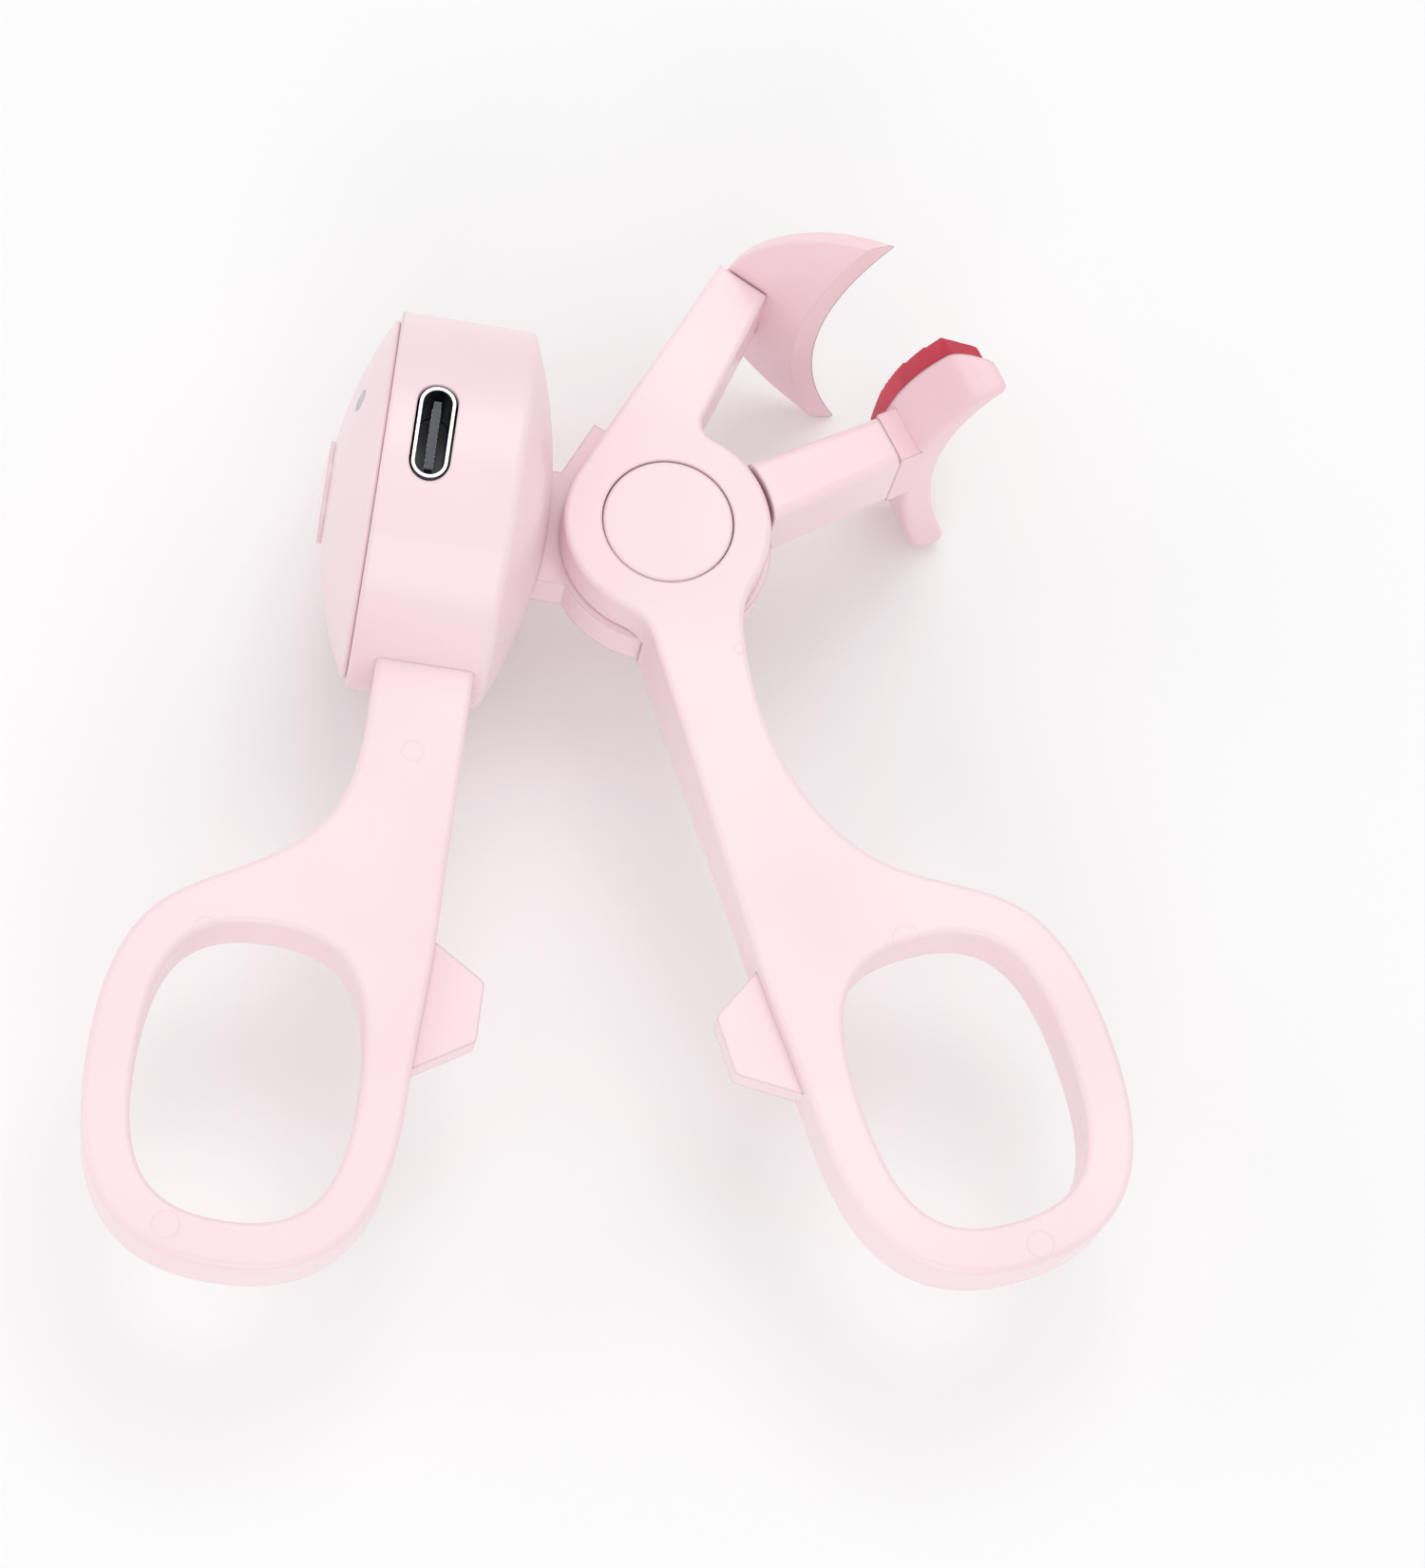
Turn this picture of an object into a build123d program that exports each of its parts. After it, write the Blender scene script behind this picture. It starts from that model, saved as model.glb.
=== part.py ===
from build123d import *
from math import cos, radians, sin, sqrt
import os

# Heated eyelash curler: two scissor levers crossed at a hub, a battery housing on the rear lever,
# a curved blade on the front lever that closes onto a warm silicone pad on the rear lever.
# Millimetres. Origin on the pivot axis, in the hub's flat rear face. +Z along the pivot towards
# the capped front face, +Y along the rear handle from finger loop to housing, +X towards the jaws.

os.makedirs("parts", exist_ok=True)

# ---------------------------------------------------------------- driving dimensions

# levers and hub
lever_thick = 9.0            # both lapped halves together
lap_gap = 0.1                # between the lapped hub halves
front_hub_r = 9.6
rear_hub_r = 10.2
hub_gap = 0.35               # from a hub's rim to the other lever
edge_round = 0.5             # soft moulded edge along the levers
splay = 24.2                 # angle between the two handles at rest
squeeze = 21.0               # travel from rest until the blade meets the pad

# handles and finger loops, given from the line that they mirror about when parallel
shut_line = -10.2            # x of that line
inner_offset = 5.4           # straight inner edge of each handle
loop_offset = 20.0           # middle of each finger hole
loop_y = -57.65
loop_half_width = 9.85
loop_half_length = 13.6
loop_band = 4.2
loop_thick = 6.0
squareness = 0.775           # how far the hole's corners reach out, 0.707 is an ellipse
rear_grip = 8.9              # width of the rear handle below the housing
rear_root_thick = 7.8
taper_start_y = -13.0
taper_end_y = -45.0

# squeeze stops, one on each handle
stop_tip_offset = 0.6
stop_thick = 2.5
stop_y = -48.6
stop_tip_length = 5.6
stop_root_length = 13.0
stop_round = 0.8

# battery housing, a disc whose axis lies along X
disc_x = -20.7               # middle of the rim
disc_y = -0.5
disc_r = 17.5
rim_width = 12.35
shell = 1.5
inner_dome_rise = 3.8
cover_dome_rise = 4.5
cover_wall = 1.4
cover_lip = 0.6
cover_lip_length = 1.5
snug = 0.05                  # clearance of a part that is pressed or snapped in

# arms and jaws
clamp_reach = 26.4           # pivot to the middle of the blade's edge
clamp_angle = 41.7           # direction of that point from +X when shut
clamp_tilt = -6.0            # slope of the clamping plane when shut
clamp_r = 37.2               # curve of the jaws in the clamping plane
clamp_gap = 0.1              # blade to pad when shut
blade_wall = 1.4
blade_rise = 10.5            # edge to crown, in the middle
blade_crown_r = 18.7
front_arm_left = 65.5        # directions of the upper arm's two edges at rest
front_arm_right = 71.5
front_arm_right_offset = 1.65
lower_arm_angle = 33.0
lower_arm_top = (2.75, 2.0)  # height over the arm's axis at the hub and at the jaw
lower_arm_foot = (-3.9, -3.1)
bar_distance = 24.6          # pivot to the back of the lower jaw
bar_thick = 3.2
bar_half_width = 17.1
bar_foot = (-3.1, -5.1)      # its underside from the arm's axis, in the middle and at the ends
neck_length = 1.8
pad_proud = 1.7
pad_lip = 0.2                # overhang of the pad's head past its groove
pad_half_width = 16.0
groove_width = 2.2
groove_wall = 0.4            # behind the groove
groove_half_width = 15.6
groove_depth = 1.3
strip_thick = 0.5
tenon_length = 4.0           # tongue that joins a jaw to its arm
tenon_half_width = 1.6

# pivot
sleeve_r = 2.5
sleeve_bore_r = 1.35
running = 0.05               # radial clearance of the front hub on the sleeve
screw_r = 1.2
insert_r = 2.1
insert_length = 2.6
boss_r = 3.2
hub_floor = 1.0
web_thick = 1.75
cap_r = 6.0
cap_thick = 1.0
cap_ring_gap = 0.12
cap_lip = (4.0, 5.0, 0.8)    # inner radius, outer radius, depth of its snap ring
washer_r = 3.0
washer_thick = 0.4
head_r = 2.4
head_thick = 1.0
spring_wire = 0.7
spring_r = 4.6
spring_turns = 3
spring_pitch = 0.85
spring_leg_reach = 7.2
spring_turned = 0.0          # direction of the spring's legs
spring_pocket_r = 6.4

# electronics
board_x = -21.0              # face that carries the parts
board_thick = 1.0
board_r = 14.5
board_screw_reach = 13.0
board_screw_r = 0.7
board_boss_r = 1.7
port_width = 8.94            # standard USB-C shell
port_height = 3.26
port_wall = 0.3
port_length = 7.3
port_recess = 0.5
port_clearance = 0.22
port_shift = -0.45           # off the disc's middle plane
button_r = 4.75
button_gap = 0.15
button_proud = 0.4
button_travel = 0.4
button_flange = 0.8
switch_side = 4.5
switch_height = 2.4
plunger_r = 0.9
plunger_proud = 1.2
lens_r = 0.9
lens_reach = 11.6
lens_turn = 67.0             # from +Y towards +Z
cell_side = 20.0
cell_thick = 4.2
foam_thick = 0.4
lead_r = 0.4
lead_pitch = 1.0
lead_channel = 1.6
lead_z = 2.2                 # lower of the two leads
lead_side = -0.15            # from the lower arm's axis

# ---------------------------------------------------------------- worked-out places

mid = lever_thick / 2
rear_top = mid - lap_gap / 2
front_bottom = mid + lap_gap / 2
rim_left = disc_x - rim_width / 2
rim_right = disc_x + rim_width / 2


def heading(angle):
    """Unit vector in the XY plane at an angle from +X."""
    return (cos(radians(angle)), sin(radians(angle)), 0)


def along(angle, distance, side=0.0):
    """Point at a distance along a heading and a distance to the left of it."""
    c, s = cos(radians(angle)), sin(radians(angle))
    return (distance * c - side * s, distance * s + side * c)


front_frame = Plane(origin=(0, 0, 0), x_dir=heading(splay), z_dir=(0, 0, 1))
lower_arm_frame = Plane(origin=(0, 0, 0), x_dir=heading(lower_arm_angle), z_dir=(0, 0, 1))
stop_lug_frame = Plane(origin=(0, 0, 0), x_dir=heading(front_arm_left), z_dir=(0, 0, 1))


def cap_sphere_r(base_r, rise):
    """Radius of a dome from its base radius and its rise."""
    return (base_r**2 + rise**2) / (2 * rise)


def dome_drop(r, base_r, rise):
    """How far a dome falls from its crown at radius r."""
    sphere = cap_sphere_r(base_r, rise)
    return sphere - sqrt(sphere**2 - r**2)


def finger_curve(middle, grow=0.0):
    """Rounded, slightly square curve of a finger hole or of the band's rim; gives its upper two quarters."""
    a, b = loop_half_width, loop_half_length
    diagonal = sqrt(a**2 + b**2)
    corner = (squareness * a + grow * b / diagonal, squareness * b + grow * a / diagonal)
    a, b = a + grow, b + grow
    pull = [(8 * out / reach - 4) / 3 for out, reach in zip(corner, (a, b))]
    quarters = []
    for x, y in ((1, 1), (-1, 1), (-1, -1), (1, -1)):
        side_end, side_pull = (x * a, 0), (x * a, y * pull[1] * b)
        far_pull, far_end = (x * pull[0] * a, y * b), (0, y * b)
        spots = [side_end, side_pull, far_pull, far_end]
        if x * y < 0:
            spots.reverse()
        quarters.append(Bezier(*[(middle + along_x, loop_y + along_y) for along_x, along_y in spots]))
    return quarters[0], quarters[1]


def stop_outline(side):
    """Corners of a squeeze stop; side is -1 for the rear handle and 1 for the front one."""
    tip = shut_line + side * stop_tip_offset
    root = shut_line + side * (inner_offset + 1.0)
    top, foot = stop_y + stop_tip_length / 2, stop_y - stop_tip_length / 2
    root_top, root_foot = stop_y + stop_root_length / 2, stop_y - stop_root_length / 2
    return [(tip, top), (tip, foot), (root, root_foot), (root, root_top)]


def block(frame, along_span, side_span, z_span, mode=Mode.ADD):
    """Box in a turned frame, from its spans along the frame's X, Y and Z."""
    spans = (along_span, side_span, z_span)
    middle = tuple((low + high) / 2 for low, high in spans)
    with Locations(frame * Location(middle)):
        Box(*(high - low for low, high in spans), mode=mode)


def disc_round(r, x_span, mode=Mode.ADD, at=(0.0, 0.0)):
    """Cylinder along X from one x to another, at an offset in y and z from the disc's axis."""
    middle = ((x_span[0] + x_span[1]) / 2, disc_y + at[0], mid + at[1])
    with Locations(middle):
        Cylinder(r, x_span[1] - x_span[0], rotation=(0, 90, 0), mode=mode)


def pivot_round(r, z_span, mode=Mode.ADD):
    """Cylinder on the pivot axis."""
    with Locations((0, 0, (z_span[0] + z_span[1]) / 2)):
        Cylinder(r, z_span[1] - z_span[0], mode=mode)


def soft_edges(body):
    """Edges where the flat faces of a lever meet its side walls."""
    walls = body.faces().filter_by(lambda f: abs(f.normal_at().Z) < 0.5)
    return walls.edges().filter_by(lambda e: abs((e % 0.5).Z) < 0.7)


def taper_line(root_thick, side):
    """Straight full-thickness stretch of a handle's side view, above or below the middle."""
    height = mid + side * root_thick / 2
    return [(40, height), (taper_start_y, height)]


def taper_curve(root_thick, side):
    """Smooth thinning of a handle from its root to its finger loop."""
    thick, thin = mid + side * root_thick / 2, mid + side * loop_thick / 2
    return Spline([(taper_start_y, thick), (taper_end_y, thin)], tangents=[(-1, 0), (-1, 0)])


def loop_end():
    """Straight side view of the finger loop, round its far end."""
    top, foot = mid + loop_thick / 2, mid - loop_thick / 2
    return [(taper_end_y, top), (-90, top), (-90, foot), (taper_end_y, foot)]


# clamping plane, at rest on the front lever and when shut on the rear lever
edge_rest = along(clamp_angle + squeeze, clamp_reach)
edge_shut = along(clamp_angle, clamp_reach)
clamp_rest_plane = Plane(
    origin=(edge_rest[0], edge_rest[1], mid), x_dir=heading(clamp_tilt + squeeze), z_dir=(0, 0, 1)
)
clamp_shut_plane = Plane(
    origin=(edge_shut[0], edge_shut[1], mid), x_dir=heading(clamp_tilt), z_dir=(0, 0, 1)
)
blade_angle = clamp_angle + squeeze
blade_face = clamp_reach - blade_wall
blade_r = clamp_r / cos(radians(clamp_angle - clamp_tilt))
bar_r = clamp_r / cos(radians(lower_arm_angle - clamp_tilt))


def side_plane(angle):
    """Plane through the pivot along a heading and Z, seen from its right-hand side."""
    return Plane(origin=(0, 0, mid), x_dir=heading(angle), z_dir=heading(angle - 90))


def face_plane(angle):
    """Plane through the pivot square to a heading."""
    return Plane(origin=(0, 0, mid), x_dir=heading(angle + 90), z_dir=heading(angle))


# ---------------------------------------------------------------- front lever

arm_left = front_arm_left - splay
arm_right = front_arm_right - splay
arm_end = blade_angle - splay


def run_to_blade(direction, side):
    """Length of an edge of the upper arm until it meets the back of the blade."""
    short_of = blade_face - side * cos(radians(direction + 90 - arm_end))
    return short_of / cos(radians(direction - arm_end))


front_inner_x = shut_line + inner_offset
front_loop_x = shut_line + loop_offset
loop_shoulder = (-0.2, 20.95)        # where a handle widens, from the middle of the finger hole
straight_end_y = -42.0               # below it the inner edge eases into the band
loop_landing = 0.62                  # where it runs into the band, as a share of the upper outer quarter
waist_angle = -48.0                  # where the outer edge leaves the hub, along the hub's own curve
waist_start = along(waist_angle, front_hub_r)
waist_tangent = along(waist_angle + 90, 1)
waist = [(2.65, -21.0), (3.2, -13.5)]
shoulder = (front_loop_x + loop_shoulder[0], loop_y + loop_shoulder[1])
blade_frame = Plane(origin=(0, 0, 0), x_dir=heading(blade_angle), z_dir=(0, 0, 1))
upper_tenon_side = 7.8               # middle of the upper tenon, up the blade from its edge
upper_tenon_half_height = 2.7
web_top = front_bottom + web_thick
cap_seat = lever_thick - cap_thick
head_room = 0.4                      # round the washer
leg_hole = (0.45, 6.1)               # radius and top of the hole that takes the spring's leg
hub_corner = along(arm_right, sqrt(front_hub_r**2 - front_arm_right_offset**2), front_arm_right_offset)
grip_corner = (front_inner_x, -sqrt(front_hub_r**2 - front_inner_x**2))
hub_corner_round = 1.8
grip_corner_round = 4.0

with BuildPart() as front_lever:
    with BuildSketch(front_frame) as front_outline:
        with BuildLine():
            outside, inside = finger_curve(front_loop_x, loop_band)
        make_face()
        Circle(front_hub_r)
        with BuildLine():
            Polyline(
                along(arm_left, 0, front_hub_r),
                along(arm_left, run_to_blade(arm_left, front_hub_r), front_hub_r),
                along(arm_right, run_to_blade(arm_right, front_arm_right_offset), front_arm_right_offset),
                along(arm_right, 0, front_arm_right_offset),
                close=True,
            )
        make_face()
        with BuildLine():
            landing = outside @ loop_landing
            Polyline(inside @ 1, (front_loop_x, loop_y), landing)
            Spline([(front_inner_x, straight_end_y), inside @ 1], tangents=[(0, -1), (0, -1)])
            Polyline((front_inner_x, straight_end_y), (front_inner_x, 0), waist_start)
            Spline([landing, shoulder, *waist, waist_start], tangents=[outside % loop_landing, waist_tangent])
        make_face()
        fillet(front_outline.vertices().sort_by_distance(hub_corner)[0], radius=hub_corner_round)
        fillet(front_outline.vertices().sort_by_distance(grip_corner)[0], radius=grip_corner_round)
    extrude(amount=lever_thick)
    with BuildSketch(front_frame):
        with BuildLine():
            finger_curve(front_loop_x)
        make_face()
    extrude(amount=lever_thick, mode=Mode.SUBTRACT)
    with BuildSketch(front_frame * Plane.YZ):
        with BuildLine():
            Polyline(*taper_line(lever_thick, 1))
            taper_curve(lever_thick, 1)
            Polyline(*loop_end())
            taper_curve(lever_thick, -1)
            Polyline(*taper_line(lever_thick, -1))
            Line((40, mid - lever_thick / 2), (40, mid + lever_thick / 2))
        make_face()
    extrude(amount=60, both=True, mode=Mode.INTERSECT)
    fillet(soft_edges(front_lever.part), radius=edge_round)
    with BuildSketch(front_frame.offset(mid - stop_thick / 2)):
        Polygon(*stop_outline(1), align=None)
        fillet(vertices().group_by(Axis.X)[0], radius=stop_round)
    extrude(amount=stop_thick)
    pivot_round(rear_hub_r + hub_gap, (0, front_bottom), mode=Mode.SUBTRACT)
    pivot_round(sleeve_r + running, (0, lever_thick), mode=Mode.SUBTRACT)
    pivot_round(washer_r + head_room, (web_top, lever_thick), mode=Mode.SUBTRACT)
    pivot_round(cap_r + cap_ring_gap, (cap_seat, lever_thick), mode=Mode.SUBTRACT)
    with BuildSketch(Plane.XY.offset(cap_seat)):
        Circle(cap_lip[1] + snug)
        Circle(cap_lip[0] - snug, mode=Mode.SUBTRACT)
    extrude(amount=-cap_lip[2] - snug, mode=Mode.SUBTRACT)
    with BuildSketch():
        with Locations(along(spring_turned, spring_r)):
            Circle(leg_hole[0])
    extrude(amount=leg_hole[1], mode=Mode.SUBTRACT)
    block(
        blade_frame,
        (blade_face - tenon_length - snug, blade_face + 1),
        (upper_tenon_side - tenon_half_width - snug, upper_tenon_side + tenon_half_width + snug),
        (mid - upper_tenon_half_height - snug, mid + upper_tenon_half_height + snug),
        mode=Mode.SUBTRACT,
    )
front_lever.part.label = "front_lever"
export_step(front_lever.part, "parts/front_lever.step")

# ---------------------------------------------------------------- rear lever

rear_inner_x = shut_line - inner_offset
rear_outer_x = rear_inner_x - rear_grip
rear_loop_x = shut_line - loop_offset
rear_shoulder = [(-loop_shoulder[0], loop_shoulder[1]), (4.2, 25.65), (5.6, 31.65)]
handle_top = disc_y - disc_r + shell / 2
disc_axis = Axis((0, disc_y, mid), (1, 0, 0))
disc_plane = Plane(origin=(0, disc_y, mid), x_dir=(1, 0, 0), z_dir=(0, -1, 0))
inner_apex = rim_right + inner_dome_rise
inner_sphere = cap_sphere_r(disc_r, inner_dome_rise)
cavity_r = disc_r - shell
cavity_corner_x = inner_apex - inner_sphere + sqrt((inner_sphere - shell) ** 2 - cavity_r**2)


def dome_arc(apex, toward, sphere, base_r):
    """Arc of a dome from its rim to its crown; toward is 1 or -1 along X."""
    spots = []
    for r in (base_r, base_r / 2, 0):
        spots.append((apex - toward * (sphere - sqrt(sphere**2 - r**2)), r))
    return ThreePointArc(*spots)


with BuildPart() as rear_handle:
    with BuildSketch():
        with BuildLine():
            inside, outside = finger_curve(rear_loop_x, loop_band)
        make_face()
        with BuildLine():
            landing = outside @ (1 - loop_landing)
            Polyline(inside @ 0, (rear_loop_x, loop_y), landing)
            outer = [(rear_loop_x + x, loop_y + y) for x, y in rear_shoulder]
            Spline(
                [landing, *outer, (rear_outer_x, handle_top)],
                tangents=[-(outside % (1 - loop_landing)), (0, 1)],
            )
            Polyline((rear_outer_x, handle_top), (rear_inner_x, handle_top), (rear_inner_x, straight_end_y))
            Spline([(rear_inner_x, straight_end_y), inside @ 0], tangents=[(0, -1), (0, -1)])
        make_face()
    extrude(amount=lever_thick)
    with BuildSketch():
        with BuildLine():
            finger_curve(rear_loop_x)
        make_face()
    extrude(amount=lever_thick, mode=Mode.SUBTRACT)
    with BuildSketch(Plane.YZ):
        with BuildLine():
            Polyline(*taper_line(rear_root_thick, 1))
            taper_curve(rear_root_thick, 1)
            Polyline(*loop_end())
            taper_curve(rear_root_thick, -1)
            Polyline(*taper_line(rear_root_thick, -1))
            Line((40, mid - rear_root_thick / 2), (40, mid + rear_root_thick / 2))
        make_face()
    extrude(amount=60, both=True, mode=Mode.INTERSECT)
    fillet(soft_edges(rear_handle.part), radius=edge_round)
    with BuildSketch(Plane.XY.offset(mid - stop_thick / 2)):
        Polygon(*stop_outline(-1), align=None)
        fillet(vertices().group_by(Axis.X)[-1], radius=stop_round)
    extrude(amount=stop_thick)

arm_start = 4.0
arm_seam = bar_distance - neck_length
lead_top = 3.9
lead_floor = 1.6
arm_round = 1.0


def arm_section(start, stop, mode=Mode.ADD):
    """Corners of the lower arm's outline between two distances along it."""
    tops, feet = [], []
    for distance in (start, stop):
        share = distance / arm_seam
        tops.append((distance, lower_arm_top[0] + share * (lower_arm_top[1] - lower_arm_top[0])))
        feet.append((distance, lower_arm_foot[0] + share * (lower_arm_foot[1] - lower_arm_foot[0])))
    return [feet[0], feet[1], tops[1], tops[0]]


with BuildPart() as lower_arm:
    with BuildSketch(lower_arm_frame):
        Polygon(*arm_section(arm_start, arm_seam), align=None)
    extrude(amount=lever_thick)
    pivot_round(front_hub_r + hub_gap, (rear_top, lever_thick), mode=Mode.SUBTRACT)
    flats = lower_arm.faces().filter_by(Axis.Z)
    long_edges = flats.edges().filter_by(lambda e: e.length > 8 and e.geom_type == GeomType.LINE)
    fillet(long_edges, radius=arm_round)
rim_round = 0.8
seam_round = 0.3
boss_root_x = rim_right + 1.0
board_back_x = board_x + board_thick
port_x = board_x - port_height / 2
port_mouth = mid + disc_r - port_recess
port_y = disc_y + port_shift


def rings(body, r):
    """Circular edges of a given radius, from left to right."""
    round_edges = body.edges().filter_by(GeomType.CIRCLE)
    return round_edges.filter_by(lambda e: abs(e.radius - r) < 0.01).sort_by(Axis.X)


with BuildPart() as housing:
    with BuildSketch(disc_plane):
        with BuildLine():
            dome_arc(inner_apex, 1, inner_sphere, disc_r)
            Polyline((inner_apex, 0), (rim_left, 0), (rim_left, disc_r), (rim_right, disc_r))
        make_face()
    revolve(axis=disc_axis)
    fillet(rings(housing.part, disc_r)[-1], radius=rim_round)
    fillet(rings(housing.part, disc_r)[0], radius=seam_round)
    with BuildSketch(disc_plane):
        with BuildLine():
            dome_arc(inner_apex - shell, 1, inner_sphere - shell, cavity_r)
            cavity_corner = (cavity_corner_x, cavity_r)
            Polyline((inner_apex - shell, 0), (rim_left, 0), (rim_left, cavity_r), cavity_corner)
        make_face()
    revolve(axis=disc_axis, mode=Mode.SUBTRACT)
    for reach in (-board_screw_reach, board_screw_reach):
        disc_round(board_boss_r, (board_back_x, boss_root_x), at=(reach, 0))
        disc_round(board_screw_r + snug, (board_back_x, boss_root_x - 2), Mode.SUBTRACT, at=(reach, 0))

insert_top = hub_floor + insert_length
sleeve_top = web_top + 2 * snug
head_foot = sleeve_top + washer_thick
head_top = head_foot + head_thick
lug_side = (front_hub_r + 0.15, 11.4)    # just clear of the upper arm's edge
lug_span = (-1.0, 6.6)
bridge = ((-11.9, -6.0), (-5.9, 5.3))
spring_base = hub_floor + spring_wire / 2 + snug
spring_frame = Plane(origin=(0, 0, spring_base), x_dir=heading(spring_turned), z_dir=(0, 0, 1))
spring_slot = spring_wire / 2 + snug
lower_tenon_side = (-2.1, 1.1)
lower_tenon_z = (4.6, 7.6)
lead_ring = 9.05                         # path of the leads round the hub
lead_bend = 1.4
lead_bridge_y = 3.8
lead_exit_y = 10.6
tab_distance = bar_distance + 1.0
lead_route = [
    (board_back_x, lead_exit_y),
    (rim_right - 0.2, lead_exit_y),
    (rim_right + 0.5, lead_bridge_y),
    (-8.2, lead_bridge_y),
    along(125, lead_ring),
    along(86, lead_ring),
    along(48, lead_ring),
    along(lower_arm_angle, 11.15, lead_side),
    along(lower_arm_angle, tab_distance, lead_side),
]

with BuildPart() as rear_lever:
    add(rear_handle.part)
    add(housing.part)
    add(lower_arm.part)
    block(Plane.XY, bridge[0], bridge[1], (0, rear_top))
    pivot_round(rear_hub_r, (0, rear_top))
    block(stop_lug_frame, lug_span, lug_side, (0, rear_top))
    pivot_round(spring_pocket_r, (hub_floor, rear_top), mode=Mode.SUBTRACT)
    pivot_round(boss_r, (hub_floor, insert_top))
    pivot_round(insert_r + snug, (hub_floor, insert_top), mode=Mode.SUBTRACT)
    block(
        spring_frame,
        (spring_r, spring_leg_reach + 0.1),
        (-spring_slot, spring_slot),
        (hub_floor - spring_base, rear_top - spring_base),
        mode=Mode.SUBTRACT,
    )
    with BuildSketch(Plane.XY.offset(lead_floor)):
        with BuildLine():
            FilletPolyline(*lead_route[2:], radius=lead_bend)
        trace(line_width=lead_channel)
    extrude(amount=lead_top - lead_floor, mode=Mode.SUBTRACT)
    with BuildSketch(Plane.XY.offset(lead_floor)):
        with BuildLine():
            FilletPolyline(*lead_route[3:7], radius=lead_bend)
        trace(line_width=lead_channel)
    extrude(amount=lever_thick, mode=Mode.SUBTRACT)
    block(
        lower_arm_frame,
        (arm_seam - tenon_length - snug, arm_seam + 1),
        (lower_tenon_side[0] - snug, lower_tenon_side[1] + snug),
        (lower_tenon_z[0] - snug, lower_tenon_z[1] + snug),
        mode=Mode.SUBTRACT,
    )
    with BuildSketch(Plane.XY.offset(mid + board_r - 2)):
        with Locations((port_x, port_y)):
            SlotOverall(port_width + 2 * port_clearance, port_height + 2 * port_clearance, rotation=90)
    extrude(amount=disc_r, mode=Mode.SUBTRACT)
rear_lever.part.label = "rear_lever"
export_step(rear_lever.part, "parts/rear_lever.step")

# ---------------------------------------------------------------- housing cover, button and light

cover_apex = rim_left - cover_dome_rise
cover_sphere = cap_sphere_r(disc_r, cover_dome_rise)
cover_inner_r = sqrt((cover_sphere - cover_wall) ** 2 - (cover_sphere - cover_dome_rise) ** 2)
lip_r = cavity_r - snug
lens_at = (lens_reach * cos(radians(lens_turn)), lens_reach * sin(radians(lens_turn)))
lens_foot_x = cover_apex + dome_drop(lens_reach, disc_r, cover_dome_rise) + cover_wall + 1.1
flange_x = cover_apex + cover_wall + dome_drop(button_r + button_flange, disc_r, cover_dome_rise) + snug
stem_r = 1.5
plunger_top = board_x - switch_height - plunger_proud


def cover_dome(sink, base_r):
    """Face under the cover's dome, moved inwards and cut off at a radius."""
    sphere = cover_sphere - sink
    with BuildSketch(disc_plane) as dome:
        with BuildLine():
            apex = cover_apex + sink
            spots = [(apex + sphere - sqrt(sphere**2 - r**2), r) for r in (base_r, base_r / 2, 0)]
            ThreePointArc(*spots)
            Polyline(spots[2], (rim_left, 0), spots[0])
        make_face()
    return dome.sketch


outer_dome = cover_dome(0, disc_r)
inner_dome = cover_dome(cover_wall, cover_inner_r)

with BuildPart() as housing_cover:
    revolve(outer_dome, axis=disc_axis)
    fillet(rings(housing_cover.part, disc_r)[-1], radius=seam_round)
    revolve(inner_dome, axis=disc_axis, mode=Mode.SUBTRACT)
    with BuildSketch(Plane.YZ.offset(rim_left)):
        with Locations((disc_y, mid)):
            Circle(lip_r)
            Circle(lip_r - cover_lip, mode=Mode.SUBTRACT)
    extrude(amount=cover_lip_length)
    disc_round(button_r + button_gap, (cover_apex - 1, rim_left - 1), Mode.SUBTRACT)
    disc_round(lens_r + snug, (cover_apex - 1, rim_left), Mode.SUBTRACT, at=lens_at)
housing_cover.part.label = "housing_cover"
export_step(housing_cover.part, "parts/housing_cover.step")

button_crown = cover_dome(-button_proud, disc_r)

with BuildPart() as power_button:
    revolve(button_crown, axis=disc_axis)
    disc_round(button_r, (cover_apex - 1, flange_x + button_flange), Mode.INTERSECT)
    fillet(rings(power_button.part, button_r)[0], radius=0.3)
    disc_round(button_r + button_flange, (flange_x, flange_x + button_flange))
    disc_round(stem_r, (flange_x, plunger_top))
power_button.part.label = "power_button"
export_step(power_button.part, "parts/power_button.step")

with BuildPart() as indicator_lens:
    revolve(outer_dome, axis=disc_axis)
    disc_round(lens_r, (cover_apex - 1, lens_foot_x), Mode.INTERSECT, at=lens_at)
    disc_round(lens_r + 0.4, (lens_foot_x - 0.4, lens_foot_x), at=lens_at)
indicator_lens.part.label = "indicator_lens"
export_step(indicator_lens.part, "parts/indicator_lens.step")

# ---------------------------------------------------------------- electronics

led = (0.8, 1.6, 0.6)                    # along Y, along Z, off the board


def on_board(at, size, mode=Mode.ADD):
    """Box on the outer face of the board; size runs along Y, Z and off the board."""
    frame = Plane(origin=(board_x, disc_y + at[0], mid + at[1]), x_dir=(0, 1, 0), z_dir=(-1, 0, 0))
    half_y, half_z = size[0] / 2, size[1] / 2
    block(frame, (-half_y, half_y), (-half_z, half_z), (0, size[2]), mode)


with BuildPart() as circuit_board:
    disc_round(board_r, (board_x, board_back_x))
    for reach in (-board_screw_reach, board_screw_reach):
        disc_round(board_screw_r + 0.1, (board_x, board_back_x), Mode.SUBTRACT, at=(reach, 0))
circuit_board.part.label = "circuit_board"
export_step(circuit_board.part, "parts/circuit_board.step")

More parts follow.
